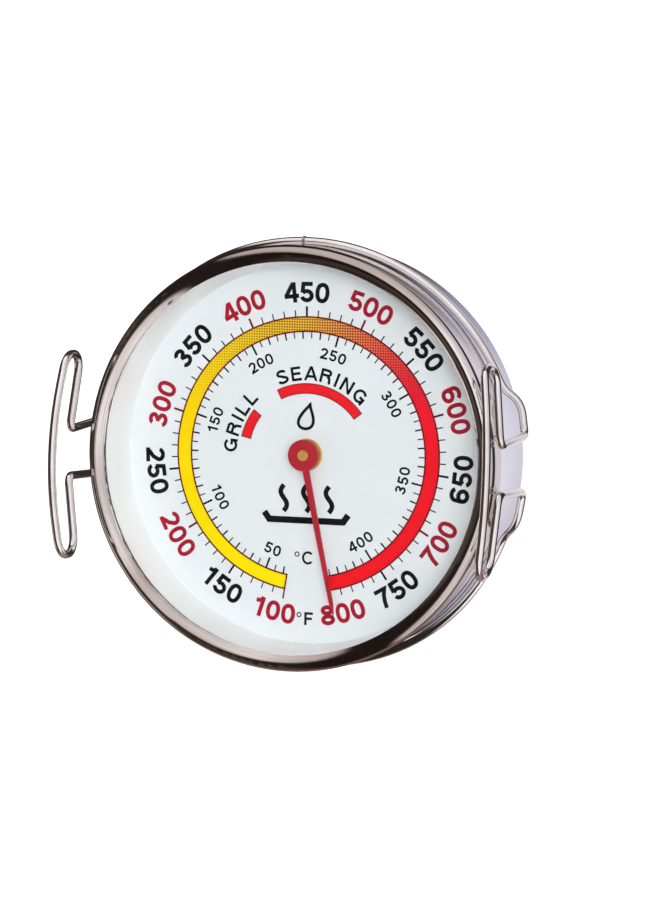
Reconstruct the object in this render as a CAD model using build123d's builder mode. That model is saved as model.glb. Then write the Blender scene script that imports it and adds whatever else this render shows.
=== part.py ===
from build123d import *
import math
import os

# Dial thermometer that lies on a hot cooking surface. Millimetres. The origin is the centre of
# the case's foot, +Z runs along the pointer shaft towards the lens, +Y is the dial's 12 o'clock.

# ---- case and bezel -------------------------------------------------------------------------
case_depth = 19.05          # overall height of the case, foot to bezel crest
bezel_radius = 31.75        # 2.5 in across
sheet = 0.40                # drawn stainless sheet
case_radius = 31.55         # outside of the case wall
case_corner = 1.20          # outside radius where wall meets base
joggle_bottom = 14.20       # the wall steps inwards here to go under the bezel
joggle_top = 14.50
neck_radius = 31.20         # outside of the stepped-in wall
case_top = 17.75
foot_inner = 27.00          # the base stands on a ring between this radius and the corner
dish_radius = 25.80
dish_height = 0.30          # the middle of the base is pressed up by this much
vent_circle = 20.00
vent_radius = 1.00
vent_count = 6

bezel_bottom = 14.60
bezel_inside = 31.30        # inside of the bezel skirt
bezel_round = 1.15          # outer shoulder radius of the rolled rim
lip_radius = 29.25          # the window's edge
lip_height = 0.30           # the edge's upright part, above the glass
inner_relief = 0.30

# ---- window stack ---------------------------------------------------------------------------
stack_radius = 30.60        # glass, gasket and dial all fit inside the stepped-in wall
dial_back = 8.20
dial_thickness = 0.50
spacer_top = 16.30
spacer_sheet = 0.35
spacer_foot_inner = 28.75
spacer_head_inner = 29.40
gasket_inner = 29.60
gasket_thickness = 0.40
glass_thickness = 1.50
glass_chamfer = 0.15
support_inner = 27.80
support_outer = 30.50
support_bottom = 0.75

# ---- movement -------------------------------------------------------------------------------
shaft_radius = 0.65
bore_radius = 0.69          # running bores of both bushings
shaft_bottom = 1.00
strip = 0.50                # sheet of the bracket and the bridge
bridge_bottom = 1.20
bracket_width = 7.00
leg_x = 13.50               # outside of the bracket's legs
foot_x = 17.50              # ends of its feet
bend_radius = 0.80          # outside bend radius of the bracket
rivet_x = 15.60
rivet_radius = 0.60
rivet_head_radius = 1.10
rivet_head = 0.32
front_bush_radius = 1.50
front_flange_radius = 2.45
front_flange = 0.55
front_bush_bottom = 7.20
swage_radius = 2.10
rear_bush_radius = 1.30
rear_flange_radius = 2.00
rear_flange = 0.40
rear_bush_bottom = 0.95

coil_hub_bottom = 2.20
coil_hub_radius = 1.80
coil_hub_top = 5.60
coil_hub_neck_radius = 1.10
washer_bottom = 6.95
washer_thickness = 0.20
washer_radius = 1.50

coil_bottom = 2.45
coil_height = 3.00
coil_strip = 0.40
coil_start_radius = 1.87    # inside of the first turn, a running clearance from the hub
coil_pitch = 1.30
coil_turns = 6
coil_tail = 0.02            # part of a turn left past the pin
coil_points_per_turn = 16
anchor_radius = 0.80
anchor_clearance = 0.02
anchor_tenon_radius = 0.50
anchor_top = 6.10
anchor_chamfer = 0.12
pin_radius = 0.30
pin_head_radius = 0.55
pin_head = 0.25
pin_height = coil_bottom + coil_height / 2

# ---- pointer --------------------------------------------------------------------------------
pointer_angle = -77.9       # direction of the pointer at rest, from +X
pointer_hub_bottom = 9.35
pointer_hub_radius = 1.50
pointer_bottom = 10.35
pointer_thickness = 0.30
pointer_disc_radius = 2.38
pointer_length = 24.70
pointer_root_width = 1.05
pointer_end_width = 0.62
pointer_taper_length = 1.90
stake_radius = 0.82         # the shaft's end is spread over the pointer
stake_height = 0.22

# ---- wire carrier ---------------------------------------------------------------------------
wire_radius = 0.62
ring_radius = 32.40         # centre line of the ring around the case
ring_height = 8.30
ring_lean = 6.0             # the ring sits slightly askew: its 12 o'clock side is higher
loop_height = 9.00          # the level from which a loop is measured
loop_lean = 3.7             # both loops tip the other way
ring_end_angle = 24.0       # the ring leaves the case this far above and below 3 o'clock
ring_run_out = 2.20
knee = (33.00, 8.95)        # where the wire stops spreading and runs along the case again
neck_root = (33.75, 4.10)   # where it turns forward
neck_top = (33.45, 3.50, 12.95)
loop_low_corner = (32.25, 14.95, 12.40)
loop_high_corner = (32.10, 14.95, 18.40)
grip_middle = (33.95, 20.40)
ring_bend = 4.00
neck_bend = 1.30
loop_bend = 2.70
grip_bend = 60.00
weld_half_gap = 0.20        # half the gap that the butt weld fills at 12 o'clock
weld_flash_radius = 0.69
weld_flash_rise = 0.05      # the flash stands out on the side away from the case

on_base = (Align.CENTER, Align.CENTER, Align.MIN)
below = (Align.CENTER, Align.CENTER, Align.MAX)

os.makedirs("parts", exist_ok=True)


def write(piece, name):
    piece.part.label = name
    export_step(piece.part, f"parts/{name}.step")


# ---- case shell: a drawn cup with a pressed base and a stepped-in mouth ---------------------
with BuildPart() as case_shell:
    with BuildSketch(Plane.XZ):
        with BuildLine():
            Polyline(
                (0, dish_height),
                (dish_radius, dish_height),
                (foot_inner, 0),
                (case_radius - case_corner, 0),
            )
            RadiusArc(
                (case_radius - case_corner, 0),
                (case_radius, case_corner),
                -case_corner,
            )
            Polyline(
                (case_radius, case_corner),
                (case_radius, joggle_bottom),
                (neck_radius, joggle_top),
                (neck_radius, case_top),
                (neck_radius - sheet, case_top),
                (neck_radius - sheet, joggle_top),
                (case_radius - sheet, joggle_bottom),
                (case_radius - sheet, case_corner),
            )
            RadiusArc(
                (case_radius - sheet, case_corner),
                (case_radius - case_corner, sheet),
                case_corner - sheet,
            )
            Polyline(
                (case_radius - case_corner, sheet),
                (foot_inner, sheet),
                (dish_radius, dish_height + sheet),
                (0, dish_height + sheet),
                (0, dish_height),
            )
        make_face()
    revolve(axis=Axis.Z)
    with Locations((0, 0, dish_height + sheet)):
        with PolarLocations(vent_circle, vent_count, start_angle=180 / vent_count):
            Hole(vent_radius, depth=2 * sheet)
write(case_shell, "case_shell")

# ---- bezel: a skirt over the case's mouth, rolled over the glass ----------------------------
glass_top = spacer_top + gasket_thickness + glass_thickness
shoulder = case_depth - bezel_round
with BuildPart() as bezel_ring:
    with BuildSketch(Plane.XZ):
        with BuildLine():
            Line((bezel_inside, bezel_bottom), (bezel_radius, bezel_bottom))
            Line((bezel_radius, bezel_bottom), (bezel_radius, shoulder))
            RadiusArc((bezel_radius, shoulder), (bezel_radius - bezel_round, case_depth), -bezel_round)
            TangentArc(
                (bezel_radius - bezel_round, case_depth),
                (lip_radius, glass_top + lip_height),
                tangent=(-1, 0),
            )
            Polyline(
                (lip_radius, glass_top + lip_height),
                (lip_radius, glass_top),
                (bezel_inside - inner_relief, glass_top),
                (bezel_inside, glass_top - inner_relief),
                (bezel_inside, bezel_bottom),
            )
        make_face()
    revolve(axis=Axis.Z)
write(bezel_ring, "bezel_ring")

# ---- window stack: glass, gasket, polished spacer, dial and the ring that carries it --------
with BuildPart() as glass_lens:
    with BuildSketch(Plane.XY.offset(glass_top - glass_thickness)):
        Circle(stack_radius)
    extrude(amount=glass_thickness)
    chamfer(glass_lens.edges(), glass_chamfer)
write(glass_lens, "glass_lens")

with BuildPart() as lens_gasket:
    with BuildSketch(Plane.XY.offset(spacer_top)):
        Circle(stack_radius)
        Circle(gasket_inner, mode=Mode.SUBTRACT)
    extrude(amount=gasket_thickness)
write(lens_gasket, "lens_gasket")

dial_front = dial_back + dial_thickness
with BuildPart() as lens_spacer:
    with BuildSketch(Plane.XZ):
        with BuildLine():
            Polyline(
                (spacer_foot_inner, dial_front),
                (stack_radius, dial_front),
                (stack_radius, dial_front + spacer_sheet),
                (spacer_foot_inner + spacer_sheet, dial_front + spacer_sheet),
                (spacer_head_inner + spacer_sheet, spacer_top - spacer_sheet),
                (stack_radius, spacer_top - spacer_sheet),
                (stack_radius, spacer_top),
                (spacer_head_inner, spacer_top),
                close=True,
            )
        make_face()
    revolve(axis=Axis.Z)
write(lens_spacer, "lens_spacer")

with BuildPart() as dial_plate:
    with BuildSketch(Plane.XY.offset(dial_back)):
        Circle(stack_radius)
        Circle(front_bush_radius, mode=Mode.SUBTRACT)
    extrude(amount=dial_thickness)
write(dial_plate, "dial_plate")

with BuildPart() as dial_support_ring:
    with BuildSketch(Plane.XZ):
        with BuildLine():
            Polyline(
                (support_inner, dial_back),
                (support_inner, dial_back - sheet),
                (support_outer, dial_back - sheet),
                (support_outer, support_bottom),
                (support_outer + sheet, support_bottom),
                (support_outer + sheet, dial_back),
                close=True,
            )
        make_face()
    revolve(axis=Axis.Z)
write(dial_support_ring, "dial_support_ring")

# ---- movement frame: a hat-shaped bracket under the dial, closed by a bridge ----------------
bridge_top = bridge_bottom + strip
foot_top = bridge_top + strip
with BuildPart() as movement_bracket:
    with BuildSketch(Plane.XZ):
        with BuildLine():
            Polyline(
                (leg_x, dial_back),
                (leg_x, foot_top),
                (foot_x, foot_top),
                (foot_x, bridge_top),
                (leg_x - strip, bridge_top),
                (leg_x - strip, dial_back - strip),
                (strip - leg_x, dial_back - strip),
                (strip - leg_x, bridge_top),
                (-foot_x, bridge_top),
                (-foot_x, foot_top),
                (-leg_x, foot_top),
                (-leg_x, dial_back),
                close=True,
            )
        make_face()
    extrude(amount=bracket_width / 2, both=True)
    top_edges = movement_bracket.edges().filter_by(Axis.Y).group_by(Axis.Z)[-1]
    fillet(top_edges, bend_radius)
    with Locations((0, 0, dial_back)):
        Hole(front_bush_radius, depth=strip)
    with Locations((rivet_x, 0, foot_top), (-rivet_x, 0, foot_top)):
        Hole(rivet_radius, depth=strip)
write(movement_bracket, "movement_bracket")

coil_end_inner = coil_start_radius + coil_pitch * coil_turns
anchor_x = coil_end_inner + coil_strip + anchor_clearance + anchor_radius
with BuildPart() as rear_bridge:
    with BuildSketch(Plane.XY.offset(bridge_bottom)):
        RectangleRounded(2 * foot_x, bracket_width, bend_radius)
        Circle(rear_bush_radius, mode=Mode.SUBTRACT)
        with Locations((rivet_x, 0), (-rivet_x, 0)):
            Circle(rivet_radius, mode=Mode.SUBTRACT)
        with Locations((anchor_x, 0)):
            Circle(anchor_tenon_radius, mode=Mode.SUBTRACT)
    extrude(amount=strip)
write(rear_bridge, "rear_bridge")

with BuildPart() as bridge_rivets:
    with Locations((rivet_x, 0, bridge_bottom), (-rivet_x, 0, bridge_bottom)):
        Cylinder(rivet_radius, 2 * strip, align=on_base)
        Cylinder(rivet_head_radius, rivet_head, align=below)
    with Locations((rivet_x, 0, foot_top), (-rivet_x, 0, foot_top)):
        Cylinder(rivet_head_radius, rivet_head, align=on_base)
    head_rims = bridge_rivets.edges().filter_by(GeomType.CIRCLE).group_by(SortBy.RADIUS)[-1]
    fillet(head_rims.group_by(Axis.Z)[-1], rivet_head / 2)
write(bridge_rivets, "bridge_rivets")

# ---- bushings: the front one is swaged through dial and bracket -----------------------------
with BuildPart() as front_bushing:
    with BuildSketch(Plane.XZ):
        with BuildLine():
            Polyline(
                (bore_radius, front_bush_bottom),
                (swage_radius, front_bush_bottom),
                (swage_radius, dial_back - strip),
                (front_bush_radius, dial_back - strip),
                (front_bush_radius, dial_front),
                (front_flange_radius, dial_front),
                (front_flange_radius, dial_front + front_flange),
                (bore_radius, dial_front + front_flange),
                close=True,
            )
        make_face()
    revolve(axis=Axis.Z)
    flange_edges = front_bushing.edges().filter_by(GeomType.CIRCLE).group_by(Axis.Z)[-1]
    chamfer(flange_edges.sort_by(SortBy.RADIUS)[-1], front_flange / 3)
write(front_bushing, "front_bushing")

with BuildPart() as rear_bushing:
    with BuildSketch(Plane.XZ):
        with BuildLine():
            Polyline(
                (bore_radius, rear_bush_bottom),
                (rear_bush_radius, rear_bush_bottom),
                (rear_bush_radius, bridge_top),
                (rear_flange_radius, bridge_top),
                (rear_flange_radius, bridge_top + rear_flange),
                (bore_radius, bridge_top + rear_flange),
                close=True,
            )
        make_face()
    revolve(axis=Axis.Z)
write(rear_bushing, "rear_bushing")

# ---- coil: a flat spiral whose outer end is pinned to a post on the bridge ------------------
def spiral(offset):
    steps = round((coil_turns + coil_tail) * coil_points_per_turn)
    points = []
    for step in range(steps + 1):
        turn = (coil_turns + coil_tail) * step / steps
        radius = coil_start_radius + offset + coil_pitch * turn
        angle = 2 * math.pi * turn
        points.append((radius * math.cos(angle), radius * math.sin(angle)))
    return points


with BuildPart() as bimetal_coil:
    inner_edge = spiral(0)
    outer_edge = spiral(coil_strip)
    with BuildSketch(Plane.XY.offset(coil_bottom)):
        with BuildLine():
            Spline(*inner_edge)
            Line(inner_edge[-1], outer_edge[-1])
            Spline(*outer_edge)
            Line(outer_edge[0], inner_edge[0])
        make_face()
    extrude(amount=coil_height)
    with BuildSketch(Plane.YZ.offset(coil_end_inner - pin_head)):
        with Locations((0, pin_height)):
            Circle(pin_radius)
    extrude(amount=coil_strip + 2 * pin_head, mode=Mode.SUBTRACT)
write(bimetal_coil, "bimetal_coil")

with BuildPart() as anchor_post:
    with Locations((anchor_x, 0, bridge_bottom)):
        Cylinder(anchor_tenon_radius, strip, align=on_base)
    with Locations((anchor_x, 0, bridge_top)):
        Cylinder(anchor_radius, anchor_top - bridge_top, align=on_base)
    chamfer(anchor_post.edges().group_by(Axis.Z)[-1], anchor_chamfer)
    with BuildSketch(Plane.YZ.offset(anchor_x - anchor_radius)):
        with Locations((0, pin_height)):
            Circle(pin_radius)
    extrude(amount=2 * anchor_radius, mode=Mode.SUBTRACT)
write(anchor_post, "anchor_post")

pin_start = coil_end_inner - anchor_clearance
pin_end = anchor_x + anchor_radius
with BuildPart() as anchor_pin:
    with BuildSketch(Plane.YZ.offset(pin_start)):
        with Locations((0, pin_height)):
            Circle(pin_radius)
    extrude(amount=pin_end - pin_start)
    with BuildSketch(Plane.YZ.offset(pin_start - pin_head), Plane.YZ.offset(pin_end)):
        with Locations((0, pin_height)):
            Circle(pin_head_radius)
    extrude(amount=pin_head)
write(anchor_pin, "anchor_pin")

# ---- turning group: shaft, coil hub, washer, pointer hub and pointer ------------------------
pointer_top = pointer_bottom + pointer_thickness
with BuildPart() as pointer_shaft:
    with BuildSketch(Plane.XY.offset(shaft_bottom)):
        Circle(shaft_radius)
    extrude(amount=pointer_top - shaft_bottom)
    with BuildSketch(Plane.XY.offset(pointer_top)):
        Circle(stake_radius)
    extrude(amount=stake_height)
    fillet(pointer_shaft.edges().group_by(Axis.Z)[-1], stake_height / 2)
write(pointer_shaft, "pointer_shaft")

with BuildPart() as coil_hub:
    with Locations((0, 0, coil_hub_bottom)):
        Cylinder(coil_hub_radius, coil_hub_top - coil_hub_bottom, align=on_base)
    with Locations((0, 0, coil_hub_top)):
        Cylinder(coil_hub_neck_radius, washer_bottom - coil_hub_top, align=on_base)
    with Locations((0, 0, washer_bottom)):
        Hole(shaft_radius)
write(coil_hub, "coil_hub")

with BuildPart() as thrust_washer:
    with Locations((0, 0, washer_bottom)):
        Cylinder(washer_radius, washer_thickness, align=on_base)
        Hole(shaft_radius)
write(thrust_washer, "thrust_washer")

with BuildPart() as pointer_hub:
    with Locations((0, 0, pointer_hub_bottom)):
        Cylinder(pointer_hub_radius, pointer_bottom - pointer_hub_bottom, align=on_base)
        Hole(shaft_radius)
write(pointer_hub, "pointer_hub")

with BuildPart() as pointer:
    with BuildSketch(Plane.XY.offset(pointer_bottom).rotated((0, 0, pointer_angle))):
        with BuildLine():
            Polyline(
                (0, pointer_root_width / 2),
                (pointer_length - pointer_taper_length, pointer_end_width / 2),
                (pointer_length, 0),
                (pointer_length - pointer_taper_length, -pointer_end_width / 2),
                (0, -pointer_root_width / 2),
                close=True,
            )
        make_face()
        Circle(pointer_disc_radius)
        Circle(shaft_radius, mode=Mode.SUBTRACT)
    extrude(amount=pointer_thickness)
write(pointer, "pointer")

# ---- wire carrier: one wire, a ring around the case with a grip loop at 3 and at 9 o'clock --
ring_slope = math.radians(ring_lean)
loop_slope = math.radians(loop_lean)


def on_ring(degrees):
    """A point of the leaning ring, counted from 3 o'clock."""
    angle = math.radians(degrees)
    across = ring_radius * math.sin(angle)
    level = ring_height + across * math.sin(ring_slope)
    return Vector(ring_radius * math.cos(angle), across * math.cos(ring_slope), level)


def leaned(x, y, z=0.0):
    """A point of a loop, z above the level of the loops, which lean as well."""
    return Vector(x, y, loop_height + z - y * math.sin(loop_slope))


def loop_points(side, end_up):
    """Corners of a grip loop, from where the ring runs out to where it begins again."""
    corners = []
    for up in (end_up, -end_up):
        leave = math.radians(ring_end_angle)
        start = on_ring(up * ring_end_angle)
        along = -up * math.cos(leave)
        run = ring_run_out * Vector(
            math.sin(leave), along * math.cos(ring_slope), along * math.sin(ring_slope)
        )
        half = [start, start + run]
        half += [leaned(knee[0], up * knee[1]), leaned(neck_root[0], up * neck_root[1])]
        half += [leaned(x, up * y, z) for x, y, z in (neck_top, loop_low_corner, loop_high_corner)]
        corners.append(half)
    outline = corners[0] + [leaned(grip_middle[0], 0, grip_middle[1])] + corners[1][::-1]
    return [Vector(side * point.X, point.Y, point.Z) for point in outline]


half_radii = [ring_bend, ring_bend, neck_bend, neck_bend, loop_bend, loop_bend]
loop_radii = half_radii + [grip_bend] + half_radii[::-1]
weld_half_angle = math.degrees(weld_half_gap / ring_radius)
with BuildPart() as wire_carrier:
    with BuildLine() as carrier_line:
        ThreePointArc(on_ring(90 - weld_half_angle), on_ring(60), on_ring(ring_end_angle))
        FilletPolyline(*loop_points(1, 1), radius=loop_radii)
        ThreePointArc(on_ring(-ring_end_angle), on_ring(-90), on_ring(180 + ring_end_angle))
        FilletPolyline(*loop_points(-1, -1), radius=loop_radii)
        ThreePointArc(on_ring(180 - ring_end_angle), on_ring(120), on_ring(90 + weld_half_angle))
    with BuildSketch(Plane(origin=carrier_line.line @ 0, z_dir=carrier_line.line % 0)):
        Circle(wire_radius)
    sweep(path=carrier_line.line)
write(wire_carrier, "wire_carrier")

with BuildPart() as wire_weld:
    with BuildSketch(Plane.YZ.offset(-weld_half_gap)):
        with Locations((on_ring(90).Y + weld_flash_rise, on_ring(90).Z)):
            Circle(weld_flash_radius)
    extrude(amount=2 * weld_half_gap)
write(wire_weld, "wire_weld")
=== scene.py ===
import math

import bpy
from mathutils import Matrix, Vector
from mathutils.geometry import delaunay_2d_cdt


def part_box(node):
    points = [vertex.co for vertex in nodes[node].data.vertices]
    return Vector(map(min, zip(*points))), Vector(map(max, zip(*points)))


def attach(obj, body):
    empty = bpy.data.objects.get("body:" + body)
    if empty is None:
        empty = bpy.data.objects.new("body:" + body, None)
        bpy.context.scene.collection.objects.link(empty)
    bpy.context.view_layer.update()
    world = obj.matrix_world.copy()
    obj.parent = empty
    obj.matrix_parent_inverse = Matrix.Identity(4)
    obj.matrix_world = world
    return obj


# A dial thermometer that lies on a hot surface. Metres, in the CAD frame: +Z along the pointer
# shaft to the lens, +Y to 12 o'clock. The dial's print is laid out in millimetres on the dial.

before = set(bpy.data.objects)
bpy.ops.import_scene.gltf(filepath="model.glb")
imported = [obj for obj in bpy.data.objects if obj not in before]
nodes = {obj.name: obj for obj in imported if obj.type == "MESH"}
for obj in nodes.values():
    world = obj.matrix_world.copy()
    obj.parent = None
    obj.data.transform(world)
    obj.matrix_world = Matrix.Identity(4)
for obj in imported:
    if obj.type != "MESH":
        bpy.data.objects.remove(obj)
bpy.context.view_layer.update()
MM = 0.001

# ---- the dial's layout, in millimetres and degrees ------------------------------------------
dial_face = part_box("dial_plate")[1].z / MM
INK = 0.020                 # thickness of a printed film
INK_UPPER = 0.034           # a film printed over another one
INSIDE_ONLY, MERGE_REACH = 1, 1e-4   # keep the triangles inside an outline, merge points this close
SCALE_MIDDLE = 90.8         # direction of the middle reading
MIDDLE_READING = 450.0
DEGREES_PER_F = -0.486      # the scale runs clockwise
BAND_INNER = 18.61
BAND_OUTER = 20.79
BAND_LINE = 0.24
ARC_STEP = 12.0             # degrees to a straight piece in the round parts of a figure
RING_STEP = 1.5             # and in the large rings


def direction_of(reading):
    """Direction of a Fahrenheit reading on the dial, in degrees counterclockwise from 3 o'clock."""
    return SCALE_MIDDLE + (reading - MIDDLE_READING) * DEGREES_PER_F


# ---- flat outlines --------------------------------------------------------------------------
def oval(cx, cy, rx, ry, start=0.0, end=360.0, squareness=2.0, step=ARC_STEP):
    """Points along an oval, counterclockwise where end is above start."""
    count = max(2, round(abs(end - start) / step))
    points = []
    for index in range(count + 1):
        angle = math.radians(start + (end - start) * index / count)
        across = math.copysign(abs(math.cos(angle)) ** (2 / squareness), math.cos(angle))
        up = math.copysign(abs(math.sin(angle)) ** (2 / squareness), math.sin(angle))
        points.append((cx + rx * across, cy + ry * up))
    return points


def ribbon(points, width):
    """One four-sided piece for each run of a line, mitred where the runs meet."""
    line = [Vector(point) for point in points]
    closed = (line[0] - line[-1]).length < 1e-6
    rims = []
    for index, point in enumerate(line):
        if index > 0:
            before = point - line[index - 1]
        else:
            before = line[0] - line[-2] if closed else line[1] - line[0]
        if index < len(line) - 1:
            after = line[index + 1] - point
        else:
            after = line[1] - line[0] if closed else before
        sides = [Vector((-run.y, run.x)).normalized() for run in (before, after)]
        mitre = (sides[0] + sides[1]).normalized()
        reach = mitre * (width / 2 / max(mitre.dot(sides[1]), 0.5))
        rims.append((point - reach, point + reach))
    return [[a, c, d, b] for (a, b), (c, d) in zip(rims, rims[1:])]


def ring_part(radius, width, start, end):
    """Part of a flat ring round the dial's middle."""
    return ribbon(oval(0, 0, radius, radius, start, end, step=RING_STEP), width)


def radial_line(angle, inner, outer, width):
    direction = Vector((math.cos(math.radians(angle)), math.sin(math.radians(angle))))
    return ribbon([direction * inner, direction * outer], width)


# ---- figures and letters: plain strokes in a box one unit high --------------------------------
WIDTHS = {
    "0": 0.72, "1": 0.52, "2": 0.72, "3": 0.71, "4": 0.78, "5": 0.72, "6": 0.72, "7": 0.70,
    "8": 0.72, "A": 1.00, "C": 0.92, "E": 0.74, "F": 0.70, "G": 0.95, "I": 0.19, "L": 0.70,
    "N": 0.84, "R": 0.86, "S": 0.84,
}
ADVANCES = {"A": 1.00, "E": 0.93, "G": 1.08, "I": 0.39, "L": 0.85, "N": 1.01, "R": 1.01, "S": 0.93}
FIGURE_ADVANCE = 0.80


def strokes(letter, s):
    """Centre lines of a letter drawn with strokes s wide."""
    h = s / 2
    top = 1 - h
    return {
        "0": [oval(0.36, 0.5, 0.36 - h, 0.5 - h, squareness=2.25)],
        "1": [[(0.08, 0.755), (0.24, 0.775), (0.35, 0.845), (0.40, 0.97)], [(0.42, 0), (0.42, 1)]],
        "2": [
            oval(0.36, 0.695, 0.345 - h, 0.305 - h, 172, -28)
            + [(0.44, 0.37), (0.27, 0.26), (0.14, 0.15), (0.11, h)],
            [(0.01, h), (0.71, h)],
        ],
        "3": [
            oval(0.345, 0.735, 0.315 - h, 0.265 - h, 165, -90),
            [(0.24, 0.52), (0.36, 0.52)],
            oval(0.345, 0.285, 0.345 - h, 0.285 - h, 90, -168),
        ],
        "4": [
            [(0.505, 0.955), (0.085, 0.315)],
            [(0.02, 0.22 + h), (0.77, 0.22 + h)],
            [(0.545, 0), (0.545, 1)],
        ],
        "5": [
            [(0.66, top), (0.185, top), (0.135, 0.47)],
            oval(0.355, 0.325, 0.355 - h, 0.325 - h, 146, -166),
        ],
        "6": [
            oval(0.375, 0.68, 0.375 - h, 0.32 - h, 24, 180) + [(h, 0.34)],
            oval(0.365, 0.325, 0.355 - h, 0.325 - h),
        ],
        "7": [[(0.01, top), (0.60, top), (0.42, 0.62), (0.31, 0.33), (0.25, 0)]],
        "8": [
            oval(0.36, 0.745, 0.325 - h, 0.255 - h),
            oval(0.36, 0.275, 0.36 - h, 0.275 - h),
        ],
        "A": [[(0.20, 0.20 + h), (0.80, 0.20 + h)]],
        "C": [oval(0.47, 0.5, 0.47 - h, 0.5 - h, 42, 318)],
        "E": [[(h, 0), (h, 1)], [(0, h), (0.74, h)], [(0, 0.51), (0.68, 0.51)], [(0, top), (0.72, top)]],
        "F": [[(h, 0), (h, 1)], [(0, 0.50), (0.62, 0.50)], [(0, top), (0.70, top)]],
        "G": [
            oval(0.475, 0.5, 0.475 - h, 0.5 - h, 38, 335),
            [(0.50, 0.44), (0.93, 0.44)],
            [(0.93 - h, 0.40), (0.93 - h, 0)],
        ],
        "I": [[(h, 0), (h, 1)]],
        "L": [[(h, 0), (h, 1)], [(0, h), (0.70, h)]],
        "N": [[(h, 0), (h, 1)], [(0.84 - h, 0), (0.84 - h, 1)]],
        "R": [
            [(h, 0), (h, 1)],
            [(h, top), (0.54, top)] + oval(0.54, 0.735, 0.27 - h, 0.265 - h, 78, -90) + [(h, 0.47 + h)],
            [(0.50, 0.47), (0.66, 0.41), (0.71, 0.27), (0.72, 0.12), (0.77, 0)],
        ],
        "S": [
            oval(0.42, 0.735, 0.385 - h, 0.265 - h, 12, 250)
            + oval(0.42, 0.280, 0.42 - h, 0.280 - h, 72, -168)
        ],
    }[letter]


def slanted_parts(letter, s):
    """The slanted bars of a letter, which are cut level at top and bottom."""
    foot = 1.0 * s
    if letter == "A":
        return [
            [(0, 0), (foot, 0), (0.5 + foot / 2, 1), (0.5 - foot / 2, 1)],
            [(1 - foot, 0), (1, 0), (0.5 + foot / 2, 1), (0.5 - foot / 2, 1)],
        ]
    if letter == "N":
        return [[(0.84 - foot, 0), (0.84, 0), (foot, 1), (0, 1)]]
    return []


def letter_parts(letter, s):
    parts = slanted_parts(letter, s)
    for line in strokes(letter, s):
        parts += ribbon(line, s)
    return parts


def advance_of(letter):
    return ADVANCES.get(letter, FIGURE_ADVANCE)


def arc_text(text, radius, middle, height, s, tops_out, tracking=0.0):
    """A word along a circle. Its tops point away from the dial's middle, or towards it."""
    sense = -1 if tops_out else 1
    steps = [0.0]
    for before, after in zip(text, text[1:]):
        steps.append(steps[-1] + (advance_of(before) + advance_of(after)) / 2 + tracking)
    parts = []
    for letter, step in zip(text, steps):
        angle = math.radians(middle) + sense * (step - steps[-1] / 2) * height / radius
        out = Vector((math.cos(angle), math.sin(angle)))
        up = out if tops_out else -out
        right = Vector((up.y, -up.x))
        for part in letter_parts(letter, s):
            parts.append([
                out * radius + (x - WIDTHS[letter] / 2) * height * right + (y - 0.5) * height * up
                for x, y in part
            ])
    return parts


def level_text(letter, x, y, height, s):
    """One upright letter, its middle at x, y."""
    half = WIDTHS[letter] / 2
    return [[(x + (px - half) * height, y + (py - 0.5) * height) for px, py in part]
            for part in letter_parts(letter, s)]


# ---- thin printed films -----------------------------------------------------------------------
def counterclockwise(outline):
    pairs = zip(outline, outline[1:] + outline[:1])
    return sum(a[0] * b[1] - b[0] * a[1] for a, b in pairs) > 0


def film(name, outlines, material, thickness=INK):
    """The union of flat outlines, given in millimetres, as a thin closed film on the dial's face."""
    points, faces = [], []
    for outline in outlines:
        ordered = list(outline) if counterclockwise(outline) else list(outline)[::-1]
        faces.append(list(range(len(points), len(points) + len(ordered))))
        points += [Vector((p[0], p[1])) for p in ordered]
    merged, _, triangles, _, _, origins = delaunay_2d_cdt(points, [], faces, INSIDE_ONLY, MERGE_REACH)
    kept = [triangle for triangle, origin in zip(triangles, origins) if origin]
    used = sorted({corner for triangle in kept for corner in triangle})
    place = {corner: index for index, corner in enumerate(used)}
    count = len(used)
    top = [(merged[c].x * MM, merged[c].y * MM, (dial_face + thickness) * MM) for c in used]
    low = [(x, y, dial_face * MM) for x, y, _ in top]
    shell = [[place[c] for c in triangle] for triangle in kept]
    edges = {(a, b) for face in shell for a, b in zip(face, face[1:] + face[:1])}
    walls = [[a, a + count, b + count, b] for a, b in sorted(edges) if (b, a) not in edges]
    base = [[c + count for c in face[::-1]] for face in shell]
    mesh = bpy.data.meshes.new(name)
    mesh.from_pydata(top + low, [], shell + base + walls)
    mesh.validate()
    mesh.materials.append(material)
    piece = bpy.data.objects.new(name, mesh)
    bpy.context.scene.collection.objects.link(piece)
    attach(piece, "case")


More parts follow.
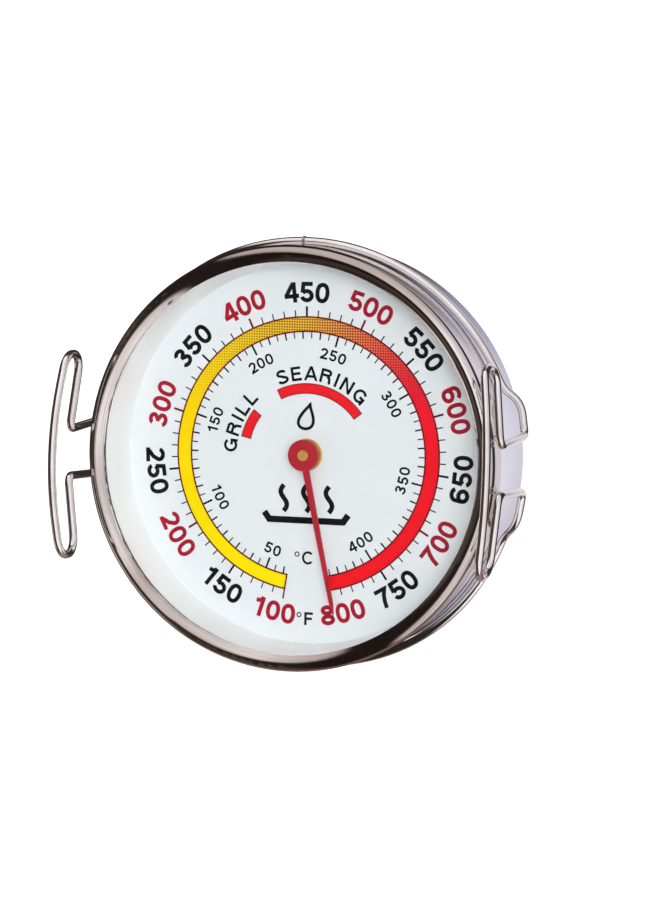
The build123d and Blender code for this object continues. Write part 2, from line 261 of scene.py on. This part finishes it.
# ---- material building ------------------------------------------------------------------------
class Shader:
    """A Principled material, and the few node patterns that the materials here share."""

    def __init__(self, name, sockets):
        self.material = bpy.data.materials.new(name)
        self.material.use_nodes = True
        self.tree = self.material.node_tree
        self.bsdf = self.tree.nodes["Principled BSDF"]
        for socket, value in sockets.items():
            self.bsdf.inputs[socket].default_value = value
        self.place = self.add("ShaderNodeTexCoord").outputs["Object"]

    def add(self, kind, **settings):
        node = self.tree.nodes.new(kind)
        for key, value in settings.items():
            setattr(node, key, value)
        return node

    def feed(self, socket, value):
        if isinstance(value, bpy.types.NodeSocket):
            self.tree.links.new(value, socket)
        else:
            socket.default_value = value

    def math(self, operation, *values):
        node = self.add("ShaderNodeMath", operation=operation)
        for socket, value in zip(node.inputs, values):
            self.feed(socket, value)
        return node.outputs[0]

    def noise(self, scale, detail=4.0, roughness=0.5, vector=None):
        node = self.add("ShaderNodeTexNoise")
        self.feed(node.inputs["Vector"], vector or self.place)
        self.feed(node.inputs["Scale"], scale)
        self.feed(node.inputs["Detail"], detail)
        self.feed(node.inputs["Roughness"], roughness)
        return node.outputs["Fac"]

    def turned(self, along, across):
        """Coordinates whose noise makes lines round the Z axis, on walls and on flat faces alike."""
        split = self.add("ShaderNodeSeparateXYZ")
        self.feed(split.inputs[0], self.place)
        x, y, z = split.outputs
        squares = [self.math("MULTIPLY", part, part) for part in (x, y)]
        radius = self.math("SQRT", self.math("ADD", *squares))
        join = self.add("ShaderNodeCombineXYZ")
        self.feed(join.inputs[0], self.math("MULTIPLY", x, along))
        self.feed(join.inputs[1], self.math("MULTIPLY", y, along))
        self.feed(join.inputs[2], self.math("MULTIPLY", self.math("ADD", z, radius), across))
        return join.outputs[0]

    def span(self, value, low, high, out_low=0.0, out_high=1.0):
        node = self.add("ShaderNodeMapRange")
        for socket, number in zip(node.inputs, (value, low, high, out_low, out_high)):
            self.feed(socket, number)
        return node.outputs[0]

    def blend(self, share, first, second):
        node = self.add("ShaderNodeMix", data_type="RGBA")
        self.feed(node.inputs[0], share)
        self.feed(node.inputs[6], first)
        self.feed(node.inputs[7], second)
        return node.outputs[2]

    def bump(self, height, distance, strength=1.0):
        node = self.add("ShaderNodeBump")
        self.feed(node.inputs["Height"], height)
        node.inputs["Distance"].default_value = distance
        node.inputs["Strength"].default_value = strength
        self.tree.links.new(node.outputs[0], self.bsdf.inputs["Normal"])

    def colour(self, value):
        self.feed(self.bsdf.inputs["Base Color"], value)

    def roughness(self, value):
        self.feed(self.bsdf.inputs["Roughness"], value)


def rgb(red, green, blue):
    return (red, green, blue, 1.0)


def fill_ramp(node, stops):
    """Sets a colour ramp from (position, colour) pairs in rising order."""
    elements = node.color_ramp.elements
    elements[0].position, elements[0].color = stops[0]
    elements[1].position, elements[1].color = stops[-1]
    for position, colour in stops[1:-1]:
        elements.new(position).color = colour


def polished_steel(name, bright, dull, gloss, line_depth, smudge=0.07, metallic=1.0, streaks=0.35):
    """Spun sheet: fine lines round the axis, faint smudges, and a slow change of tint."""
    shader = Shader(name, {"Metallic": metallic})
    lines = shader.noise(1.0, 6.0, 0.65, shader.turned(60.0, 4500.0))
    smears = shader.noise(170.0, 3.0, 0.6)
    cloud = shader.noise(45.0, 2.0)
    tint = shader.blend(shader.span(cloud, 0.35, 0.65), bright, dull)
    shader.colour(shader.blend(shader.span(lines, 0.45, 0.70, 0.0, streaks), tint, dull))
    film_of_grease = shader.span(smears, 0.45, 0.70, 0.0, smudge)
    shader.roughness(shader.math("ADD", shader.span(lines, 0.3, 0.8, gloss, gloss + 0.05), film_of_grease))
    shader.bump(lines, line_depth)
    return shader.material


def drawn_wire(name):
    """Bright drawn wire: small pits, a brownish tint in the hollows and a faint patchy tint."""
    shader = Shader(name, {"Metallic": 1.0})
    pits = shader.noise(2600.0, 3.0, 0.7)
    cloud = shader.noise(120.0, 3.0)
    tint = shader.blend(shader.span(cloud, 0.35, 0.7), rgb(0.90, 0.88, 0.87), rgb(0.76, 0.71, 0.67))
    shader.colour(shader.blend(shader.span(pits, 0.62, 0.75, 0.0, 0.6), tint, rgb(0.42, 0.36, 0.32)))
    shader.roughness(shader.span(pits, 0.3, 0.75, 0.05, 0.14))
    shader.bump(pits, 0.000006, 0.5)
    return shader.material


def welded_metal(name):
    """A ground butt weld, straw and brown where it ran hot."""
    shader = Shader(name, {"Metallic": 1.0})
    grain = shader.noise(3800.0, 5.0, 0.7)
    heat = shader.noise(1500.0, 2.0)
    tint = shader.blend(shader.span(heat, 0.35, 0.65), rgb(0.62, 0.54, 0.44), rgb(0.30, 0.22, 0.19))
    shader.colour(shader.blend(shader.span(grain, 0.5, 0.8, 0.0, 0.5), tint, rgb(0.16, 0.13, 0.12)))
    shader.roughness(shader.span(grain, 0.3, 0.7, 0.22, 0.5))
    shader.bump(grain, 0.00003)
    return shader.material


def rolled_steel(name, light, dark, gloss):
    """Plain rolled strip: a grain along X with darker scale in patches."""
    shader = Shader(name, {"Metallic": 1.0})
    stretch = shader.add("ShaderNodeMapping")
    shader.feed(stretch.inputs["Vector"], shader.place)
    stretch.inputs["Scale"].default_value = (120.0, 3200.0, 3200.0)
    grain = shader.noise(1.0, 5.0, 0.6, stretch.outputs[0])
    patches = shader.noise(260.0, 3.0)
    shader.colour(shader.blend(shader.span(patches, 0.35, 0.7), light, dark))
    shader.roughness(shader.span(grain, 0.25, 0.75, gloss, gloss + 0.18))
    shader.bump(grain, 0.00001)
    return shader.material


def turned_brass(name):
    """Turned brass with fine tool rings and a little brown tarnish."""
    shader = Shader(name, {"Metallic": 1.0})
    rings = shader.noise(1.0, 3.0, 0.5, shader.turned(80.0, 7000.0))
    tarnish = shader.noise(900.0, 4.0, 0.6)
    tint = shader.blend(shader.span(rings, 0.35, 0.7), rgb(0.92, 0.58, 0.20), rgb(0.78, 0.44, 0.13))
    shader.colour(shader.blend(shader.span(tarnish, 0.50, 0.72, 0.0, 0.55), tint, rgb(0.38, 0.22, 0.08)))
    shader.roughness(shader.span(tarnish, 0.3, 0.7, 0.34, 0.52))
    shader.bump(rings, 0.000012)
    return shader.material


def fibre(name):
    """Pressed gasket fibre: short pale strands in a grey binder."""
    shader = Shader(name, {"Specular IOR Level": 0.25})
    strands = shader.noise(5200.0, 6.0, 0.75)
    lumps = shader.noise(900.0, 3.0)
    tint = shader.blend(shader.span(lumps, 0.3, 0.7), rgb(0.07, 0.07, 0.075), rgb(0.13, 0.13, 0.13))
    shader.colour(shader.blend(shader.span(strands, 0.58, 0.74), tint, rgb(0.30, 0.29, 0.27)))
    shader.roughness(shader.span(strands, 0.3, 0.7, 0.75, 0.95))
    shader.bump(strands, 0.00005)
    return shader.material


def enamel(name, base, fleck, depth=0.000004, gloss=0.32):
    """Baked paint: a very faint mottle, fine orange peel and an even satin gloss."""
    shader = Shader(name, {"Specular IOR Level": 0.45, "Coat Weight": 0.15, "Coat Roughness": 0.25})
    mottle = shader.noise(330.0, 4.0, 0.55)
    peel = shader.noise(2400.0, 2.0, 0.5)
    shader.colour(shader.blend(shader.span(mottle, 0.3, 0.7), base, fleck))
    shader.roughness(shader.span(peel, 0.3, 0.7, gloss, gloss + 0.10))
    shader.bump(peel, depth)
    return shader.material


def ink(name, base, thin, gloss=0.42):
    """Screen ink: a little thinner where the mesh of the screen let less through."""
    shader = Shader(name, {"Specular IOR Level": 0.08})
    weave = shader.noise(4200.0, 3.0, 0.6)
    cloud = shader.noise(700.0, 3.0)
    shade = shader.math("MULTIPLY", shader.span(weave, 0.4, 0.75), shader.span(cloud, 0.3, 0.7, 0.35, 1.0))
    shader.colour(shader.blend(shade, base, thin))
    shader.roughness(shader.span(weave, 0.3, 0.7, gloss, gloss + 0.14))
    shader.bump(weave, 0.000003)
    return shader.material


def turn_share(reading):
    """Where a reading lies on the turn, as a share of it clockwise from 6 o'clock."""
    return (270.0 - direction_of(reading)) / 360.0


def band_ink(name):
    """The scale's colour band: yellow, then a halftone that grows redder, then plain red."""
    shader = Shader(name, {"Specular IOR Level": 0.08})
    split = shader.add("ShaderNodeSeparateXYZ")
    shader.feed(split.inputs[0], shader.place)
    x, y = split.outputs[0], split.outputs[1]
    angle = shader.math("ARCTAN2", shader.math("MULTIPLY", x, -1.0), shader.math("MULTIPLY", y, -1.0))
    share = shader.math("DIVIDE", shader.math("FLOORED_MODULO", angle, 2 * math.pi), 2 * math.pi)
    pale = shader.add("ShaderNodeValToRGB")
    deep = shader.add("ShaderNodeValToRGB")
    stops = (
        (100, rgb(0.95, 0.76, 0.000), rgb(0.95, 0.76, 0.000)),
        (300, rgb(0.95, 0.67, 0.000), rgb(0.93, 0.65, 0.000)),
        (350, rgb(0.96, 0.66, 0.012), rgb(0.68, 0.44, 0.006)),
        (410, rgb(0.90, 0.58, 0.030), rgb(0.34, 0.19, 0.012)),
        (450, rgb(0.88, 0.50, 0.050), rgb(0.27, 0.12, 0.014)),
        (490, rgb(0.86, 0.28, 0.085), rgb(0.22, 0.045, 0.022)),
        (530, rgb(0.87, 0.085, 0.060), rgb(0.34, 0.030, 0.028)),
        (570, rgb(0.86, 0.018, 0.036), rgb(0.62, 0.014, 0.028)),
        (600, rgb(0.87, 0.010, 0.024), rgb(0.86, 0.010, 0.024)),
        (800, rgb(0.88, 0.010, 0.016), rgb(0.88, 0.010, 0.016)),
    )
    for ramp, column in ((pale, 1), (deep, 2)):
        shader.feed(ramp.inputs[0], share)
        fill_ramp(ramp, [(turn_share(stop[0]), stop[column]) for stop in stops])
    pitch = 0.40 * MM
    diagonals = [shader.math("ADD", x, y), shader.math("SUBTRACT", x, y)]
    waves = [shader.math("SINE", shader.math("MULTIPLY", diagonal, math.pi / pitch))
             for diagonal in diagonals]
    dots = shader.span(shader.math("MULTIPLY", waves[0], waves[1]), -0.25, 0.25)
    shader.colour(shader.blend(dots, pale.outputs[0], deep.outputs[0]))
    weave = shader.noise(4200.0, 3.0, 0.6)
    shader.roughness(shader.span(weave, 0.3, 0.7, 0.40, 0.52))
    shader.bump(weave, 0.000003)
    return shader.material


def lens_glass(name):
    """Clear float glass with a trace of dust. Light falls through it as through an open window."""
    shader = Shader(name, {"Base Color": rgb(0.985, 0.995, 0.992), "Transmission Weight": 1.0, "IOR": 1.45})
    dust = shader.noise(1400.0, 4.0, 0.6)
    shader.roughness(shader.span(dust, 0.72, 0.85, 0.0, 0.05))
    output = shader.tree.nodes["Material Output"]
    path = shader.add("ShaderNodeLightPath")
    clear = shader.add("ShaderNodeBsdfTransparent")
    clear.inputs["Color"].default_value = rgb(0.97, 0.98, 0.98)
    choice = shader.add("ShaderNodeMixShader")
    shader.feed(choice.inputs[0], path.outputs["Is Shadow Ray"])
    shader.tree.links.new(shader.bsdf.outputs[0], choice.inputs[1])
    shader.tree.links.new(clear.outputs[0], choice.inputs[2])
    shader.tree.links.new(choice.outputs[0], output.inputs["Surface"])
    return shader.material


def dress(node, material):
    """Puts a material on every slot of a CAD node."""
    for slot in nodes[node].material_slots:
        slot.material = material


case_steel = polished_steel(
    "case_steel_polished", rgb(0.86, 0.85, 0.90), rgb(0.70, 0.69, 0.75), 0.06, 0.0000018, 0.05
)
bezel_steel = polished_steel(
    "bezel_steel_polished", rgb(0.80, 0.76, 0.75), rgb(0.44, 0.37, 0.34), 0.05, 0.0000022, 0.04,
    streaks=0.60,
)
spacer_steel = polished_steel(
    "spacer_steel_satin", rgb(0.985, 0.995, 1.0), rgb(0.965, 0.98, 0.99), 0.38, 0.0000010, 0.03,
    metallic=0.12,
)
frame_steel = rolled_steel("frame_steel_rolled", rgb(0.62, 0.62, 0.63), rgb(0.45, 0.44, 0.44), 0.28)
rivet_steel = rolled_steel("rivet_steel_plain", rgb(0.68, 0.68, 0.70), rgb(0.50, 0.50, 0.51), 0.22)
coil_metal = rolled_steel("bimetal_rolled", rgb(0.66, 0.58, 0.46), rgb(0.48, 0.42, 0.36), 0.30)
brass = turned_brass("brass_turned")

dress("case_shell", case_steel)
dress("bezel_ring", bezel_steel)
dress("lens_spacer", spacer_steel)
dress("glass_lens", lens_glass("lens_glass_clear"))
dress("lens_gasket", fibre("gasket_fibre_pressed"))
dress("dial_plate", enamel("dial_enamel_white", rgb(0.80, 0.83, 0.855), rgb(0.77, 0.81, 0.84)))
dress("pointer", enamel("pointer_enamel_red", rgb(0.47, 0.008, 0.022), rgb(0.40, 0.006, 0.018), gloss=0.30))
dress("wire_carrier", drawn_wire("wire_steel_drawn"))
dress("wire_weld", welded_metal("weld_steel_tinted"))
dress("bimetal_coil", coil_metal)
for node in ("dial_support_ring", "movement_bracket", "rear_bridge", "anchor_post", "thrust_washer"):
    dress(node, frame_steel)
for node in ("bridge_rivets", "anchor_pin"):
    dress(node, rivet_steel)
for node in ("front_bushing", "rear_bushing", "pointer_shaft", "coil_hub", "pointer_hub"):
    dress(node, brass)

# ---- the dial's print -------------------------------------------------------------------------
black_ink = ink("ink_black", rgb(0.005, 0.0055, 0.006), rgb(0.014, 0.015, 0.017))
crimson_ink = ink("ink_crimson", rgb(0.36, 0.010, 0.028), rgb(0.43, 0.018, 0.038))
maroon_ink = ink("ink_maroon", rgb(0.14, 0.006, 0.008), rgb(0.20, 0.012, 0.014))
scarlet_ink = ink("ink_scarlet", rgb(0.84, 0.010, 0.020), rgb(0.86, 0.030, 0.035))


LOWEST, HIGHEST = 100, 800
span_start, span_end = direction_of(LOWEST), direction_of(HIGHEST)
band_middle = (BAND_INNER + BAND_OUTER) / 2
film(
    "scale_band",
    ring_part(band_middle, BAND_OUTER - BAND_INNER, span_start, span_end),
    band_ink("ink_scale_band"),
)

# Outer scale, degrees Fahrenheit: a tick every 10, a long one every 50, red figures at each 100.
TICK_FOOT = BAND_OUTER + BAND_LINE / 2
MINOR_TOP, MAJOR_TOP = 21.84, 22.40
MINOR_WIDTH, MAJOR_WIDTH = 0.19, 0.32
outline = ring_part(BAND_OUTER, BAND_LINE, span_start, span_end)
outline += ring_part(BAND_INNER, BAND_LINE, span_start, span_end)
fahrenheit_ticks = []
for reading in range(LOWEST, HIGHEST + 1, 10):
    angle = direction_of(reading)
    if reading in (LOWEST, HIGHEST):
        outline += radial_line(angle, BAND_INNER - BAND_LINE / 2, MAJOR_TOP, BAND_LINE)
    elif reading % 100 == 0:
        outline += radial_line(angle, BAND_OUTER, MAJOR_TOP, MAJOR_WIDTH)
    elif reading % 50 == 0:
        fahrenheit_ticks += radial_line(angle, TICK_FOOT, MAJOR_TOP, MAJOR_WIDTH)
    else:
        fahrenheit_ticks += radial_line(angle, TICK_FOOT, MINOR_TOP, MINOR_WIDTH)
film("scale_outline", outline, maroon_ink, INK_UPPER)
film("fahrenheit_ticks", fahrenheit_ticks, black_ink)

FIGURE_RADIUS, FIGURE_HEIGHT, FIGURE_STROKE = 24.52, 3.08, 0.205
nudges = {100: 2.9, 800: 3.6, 750: 1.4}   # degrees that these figures stand off their ticks
hundreds, fifties = [], []
for reading in range(LOWEST, HIGHEST + 1, 50):
    away = nudges.get(reading, 0.0) * (-1 if reading < MIDDLE_READING else 1)
    angle = direction_of(reading) + away
    tops_out = 300 <= reading <= 600
    figure = arc_text(str(reading), FIGURE_RADIUS, angle, FIGURE_HEIGHT, FIGURE_STROKE, tops_out)
    if reading % 100:
        fifties += figure
    else:
        hundreds += figure
film("fahrenheit_hundreds", hundreds, crimson_ink)
film("fahrenheit_fifties", fifties, black_ink)

# Inner scale, degrees Celsius: a tick every 5, wider every 10, long every 50 with thin figures.
C_TICK_FOOT = BAND_INNER - BAND_LINE / 2
C_ENDS = {50: (16.91, 0.30), 10: (17.47, 0.24), 5: (17.60, 0.18)}
C_FIGURE_RADIUS, C_FIGURE_HEIGHT, C_FIGURE_STROKE = 15.55, 1.68, 0.185
C_LOWEST, C_HIGHEST = 40, 425
celsius_ticks, celsius_figures = [], []
for reading in range(C_LOWEST, C_HIGHEST + 1, 5):
    angle = direction_of(reading * 9 / 5 + 32)
    step = next(size for size in (50, 10, 5) if reading % size == 0)
    celsius_ticks += radial_line(angle, C_ENDS[step][0], C_TICK_FOOT, C_ENDS[step][1])
    if step == 50:
        celsius_figures += arc_text(
            str(reading), C_FIGURE_RADIUS, angle, C_FIGURE_HEIGHT, C_FIGURE_STROKE,
            150 <= reading <= 300, 0.07,
        )
film("celsius_ticks", celsius_ticks, black_ink)
film("celsius_figures", celsius_figures, black_ink)

# The two cooking zones, and the scales' units.
ZONE_RADIUS, ZONE_WIDTH, ZONE_LINE = 10.01, 1.48, 0.13
WORD_RADIUS, WORD_HEIGHT, WORD_STROKE, WORD_TRACKING = 12.30, 2.16, 0.186, 0.13
zone_fill, zone_edge, zone_words = [], [], []
for word, start, end, middle in (("GRILL", 167.0, 142.7, 156.5), ("SEARING", 116.7, 37.3, 78.6)):
    zone_fill += ring_part(ZONE_RADIUS, ZONE_WIDTH, start, end)
    for side in (-1, 1):
        zone_edge += ring_part(ZONE_RADIUS + side * ZONE_WIDTH / 2, ZONE_LINE, start, end)
    for angle in (start, end):
        inner = ZONE_RADIUS - (ZONE_WIDTH + ZONE_LINE) / 2
        zone_edge += radial_line(angle, inner, inner + ZONE_WIDTH + ZONE_LINE, ZONE_LINE)
    zone_words += arc_text(word, WORD_RADIUS, middle, WORD_HEIGHT, WORD_STROKE, True, WORD_TRACKING)
film("zone_arcs", zone_fill, scarlet_ink)
film("zone_outlines", zone_edge, maroon_ink, INK_UPPER)
film("zone_words", zone_words, black_ink)

units = level_text("F", 0.62, -24.95, 1.98, 0.19) + level_text("C", 0.37, -15.68, 2.03, 0.17)
DEGREE_RADIUS, DEGREE_LINE = 0.32, 0.17
for x, y in ((-0.92, -24.40), (-1.36, -15.18)):
    units += ribbon(oval(x, y, DEGREE_RADIUS, DEGREE_RADIUS), DEGREE_LINE)
film("unit_signs", units, black_ink)

# A plain sign for a hot plate, and a small flame above the pointer's disc.
PLATE_Y, PLATE_HALF, WAVE_FOOT, WAVE_TOP, WAVE_SWING = -10.0, 5.9, -8.7, -4.7, 0.50
PLATE_LINE, RIM_OUT, RIM_UP = 1.0, 0.8, 1.1
sign = ribbon(
    [(-PLATE_HALF - RIM_OUT, PLATE_Y + RIM_UP), (-PLATE_HALF, PLATE_Y), (PLATE_HALF, PLATE_Y),
     (PLATE_HALF + RIM_OUT, PLATE_Y + RIM_UP)],
    PLATE_LINE,
)
WAVE_STEPS, WAVE_SPACING, WAVE_LINE = 24, 3.6, 0.75
for x in (-WAVE_SPACING, 0.0, WAVE_SPACING):
    wave = []
    for index in range(WAVE_STEPS + 1):
        share = index / WAVE_STEPS
        wave.append((x + WAVE_SWING * math.sin(2 * math.pi * share),
                     WAVE_FOOT + (WAVE_TOP - WAVE_FOOT) * share))
    sign += ribbon(wave, WAVE_LINE)
film("hot_plate_sign", sign, black_ink)

FLAME_STEPS, FLAME_LINE = 40, 0.46
FLAME_X, FLAME_Y, FLAME_HALF_WIDTH, FLAME_HALF_HEIGHT = -0.30, 5.75, 1.70, 1.85
FLAME_LEAN, FLAME_TAPER = 0.18, 1.5
flame = []
for index in range(FLAME_STEPS + 1):
    turn = 2 * math.pi * index / FLAME_STEPS
    rise = math.cos(turn)
    half = FLAME_HALF_WIDTH * math.sin(turn) * math.sin(turn / 2) ** FLAME_TAPER
    flame.append((FLAME_X + half + FLAME_LEAN * (rise + 1) ** 2, FLAME_Y + FLAME_HALF_HEIGHT * rise))
film("flame_sign", ribbon(flame, FLAME_LINE), black_ink)

# ---- floor, light and camera ------------------------------------------------------------------
FLOOR_HALF = 3.0
FLOOR_DROP = 0.00003        # keeps the paper's face apart from the foot's
SIDE_SCALE = 0.44           # brings the room's left to right position inside a ramp's 0 to 1


def ramp_between(shader, value, low, high, stops):
    """A colour ramp over a range of values. Stops are (value, colour) pairs."""
    node = shader.add("ShaderNodeValToRGB")
    shader.feed(node.inputs[0], shader.span(value, low, high))
    fill_ramp(node, [((at - low) / (high - low), colour) for at, colour in stops])
    return node.outputs[0]


def floor_paper():
    """White paper. Seen in polished surfaces, it glows instead with a painted reflection: a dark ground
    with a pale strip beside the case.
    """
    shader = Shader("floor_paper", {
        "Base Color": rgb(0.86, 0.86, 0.87), "Specular IOR Level": 0.1,
        "Emission Color": rgb(1.0, 1.0, 1.0), "Emission Strength": 0.65,
    })
    shader.roughness(shader.span(shader.noise(900.0), 0.3, 0.7, 0.85, 0.95))
    split = shader.add("ShaderNodeSeparateXYZ")
    shader.feed(split.inputs[0], shader.place)
    # Painted reflection colour across the floor: dark, then a pale lilac strip just beside the case on +X,
    # then dark again.
    across = ramp_between(shader, split.outputs[0], -0.10, 0.10, (
        (-0.10, rgb(0.030, 0.024, 0.022)),
        (0.012, rgb(0.060, 0.048, 0.046)),
        (0.026, rgb(0.50, 0.49, 0.57)),
        (0.034, rgb(0.90, 0.87, 0.94)),
        (0.039, rgb(0.72, 0.69, 0.74)),
        (0.043, rgb(0.050, 0.040, 0.038)),
        (0.10, rgb(0.045, 0.035, 0.033)),
    ))
    # Towards -Y, in front of the case, the painted reflection turns pinkish brown.
    near_side = shader.span(split.outputs[1], -0.024, -0.040)
    painted_reflection_glow = shader.add("ShaderNodeEmission")
    shader.feed(painted_reflection_glow.inputs["Color"], shader.blend(near_side, across, rgb(0.30, 0.215, 0.18)))
    # Rays mirrored straight off polished surfaces or passed through the glass see this glowing painted
    # reflection. The camera and diffuse light see the paper.
    path = shader.add("ShaderNodeLightPath")
    choice = shader.add("ShaderNodeMixShader")
    polished = shader.math("LESS_THAN", path.outputs["Diffuse Depth"], 0.5)
    shader.feed(choice.inputs[0], shader.math("SUBTRACT", polished, path.outputs["Is Camera Ray"]))
    shader.tree.links.new(shader.bsdf.outputs[0], choice.inputs[1])
    shader.tree.links.new(painted_reflection_glow.outputs[0], choice.inputs[2])
    shader.tree.links.new(choice.outputs[0], shader.tree.nodes["Material Output"].inputs["Surface"])
    return shader.material


floor_mesh = bpy.data.meshes.new("floor")
floor_mesh.from_pydata(
    [(x * FLOOR_HALF, y * FLOOR_HALF, -FLOOR_DROP) for x, y in ((-1, -1), (1, -1), (1, 1), (-1, 1))],
    [], [(0, 1, 2, 3)],
)
floor_mesh.materials.append(floor_paper())
floor = bpy.data.objects.new("floor", floor_mesh)
bpy.context.scene.collection.objects.link(floor)


def studio(world):
    """An even white room. Polished surfaces mirror it with one dark side, tuned to the camera's
    angle, so that they show bands."""
    world.use_nodes = True
    tree = world.node_tree
    tree.nodes.clear()

    def math_node(operation, first, second):
        node = tree.nodes.new("ShaderNodeMath")
        node.operation = operation
        for socket, value in zip(node.inputs, (first, second)):
            if isinstance(value, float):
                socket.default_value = value
            else:
                tree.links.new(value, socket)
        return node.outputs[0]

    place = tree.nodes.new("ShaderNodeTexCoord")
    split = tree.nodes.new("ShaderNodeSeparateXYZ")
    tree.links.new(place.outputs["Generated"], split.inputs[0])
    x, y = split.outputs[0], split.outputs[1]
    side = math_node("ADD", x, math_node("MULTIPLY", y, 0.5))
    shift = math_node("ADD", math_node("MULTIPLY", side, SIDE_SCALE), 0.5)
    ramp = tree.nodes.new("ShaderNodeValToRGB")
    tree.links.new(shift, ramp.inputs[0])
    stops = (
        (-1.08, rgb(0.86, 0.82, 0.80)),
        (-1.04, rgb(0.030, 0.023, 0.021)),
        (-0.74, rgb(0.115, 0.080, 0.068)),
        (-0.60, rgb(0.030, 0.022, 0.020)),
        (-0.28, rgb(0.022, 0.017, 0.016)),
        (-0.19, rgb(0.94, 0.90, 0.89)),
        (0.10, rgb(1.12, 1.07, 1.05)),
        (0.55, rgb(1.00, 0.98, 1.00)),
        (0.95, rgb(0.72, 0.70, 0.76)),
    )
    fill_ramp(ramp, [(value * SIDE_SCALE + 0.5, colour) for value, colour in stops])
    room = tree.nodes.new("ShaderNodeBackground")
    tree.links.new(ramp.outputs[0], room.inputs["Color"])
    room.inputs["Strength"].default_value = 1.0
    plain = tree.nodes.new("ShaderNodeBackground")
    plain.inputs["Color"].default_value = rgb(1.0, 1.0, 1.0)
    plain.inputs["Strength"].default_value = 0.62
    path = tree.nodes.new("ShaderNodeLightPath")
    choice = tree.nodes.new("ShaderNodeMixShader")
    output = tree.nodes.new("ShaderNodeOutputWorld")
    polished = math_node("LESS_THAN", path.outputs["Diffuse Depth"], 0.5)
    mirrored = math_node("SUBTRACT", polished, path.outputs["Is Camera Ray"])
    tree.links.new(mirrored, choice.inputs[0])
    tree.links.new(plain.outputs[0], choice.inputs[1])
    tree.links.new(room.outputs[0], choice.inputs[2])
    tree.links.new(choice.outputs[0], output.inputs["Surface"])


scene = bpy.context.scene
scene.world = bpy.data.worlds.new("studio")
studio(scene.world)
scene.view_settings.view_transform = "Standard"


def soft_light(name, place, aim, size, watts, colour):
    data = bpy.data.lights.new(name, "AREA")
    data.shape = "DISK"
    data.size = size
    data.energy = watts
    data.color = colour
    lamp = bpy.data.objects.new(name, data)
    lamp.location = place
    lamp.rotation_euler = (Vector(aim) - Vector(place)).to_track_quat("-Z", "Y").to_euler()
    lamp.visible_glossy = False
    scene.collection.objects.link(lamp)


soft_light("key_light", (0.36, 0.14, 1.02), (0, 0, 0.01), 0.22, 2.9, (1.0, 0.99, 0.985))

CAMERA_PLACE = Vector((0.142684, 0.039911, 0.434447))
CAMERA_TARGET = Vector((0.003484, 0.000805, 0.008670))
CAMERA_ROLL = 0.804         # degrees
camera_data = bpy.data.cameras.new("camera")
camera_data.lens = 119.336
camera_data.sensor_width = 36.0
camera = bpy.data.objects.new("camera", camera_data)
view = (CAMERA_TARGET - CAMERA_PLACE).normalized()
right = view.cross(Vector((0, 1, 0))).normalized()
right = Matrix.Rotation(math.radians(-CAMERA_ROLL), 3, view) @ right
up = right.cross(view)
camera.matrix_world = Matrix.Translation(CAMERA_PLACE) @ Matrix((right, up, -view)).transposed().to_4x4()
scene.collection.objects.link(camera)
scene.camera = camera
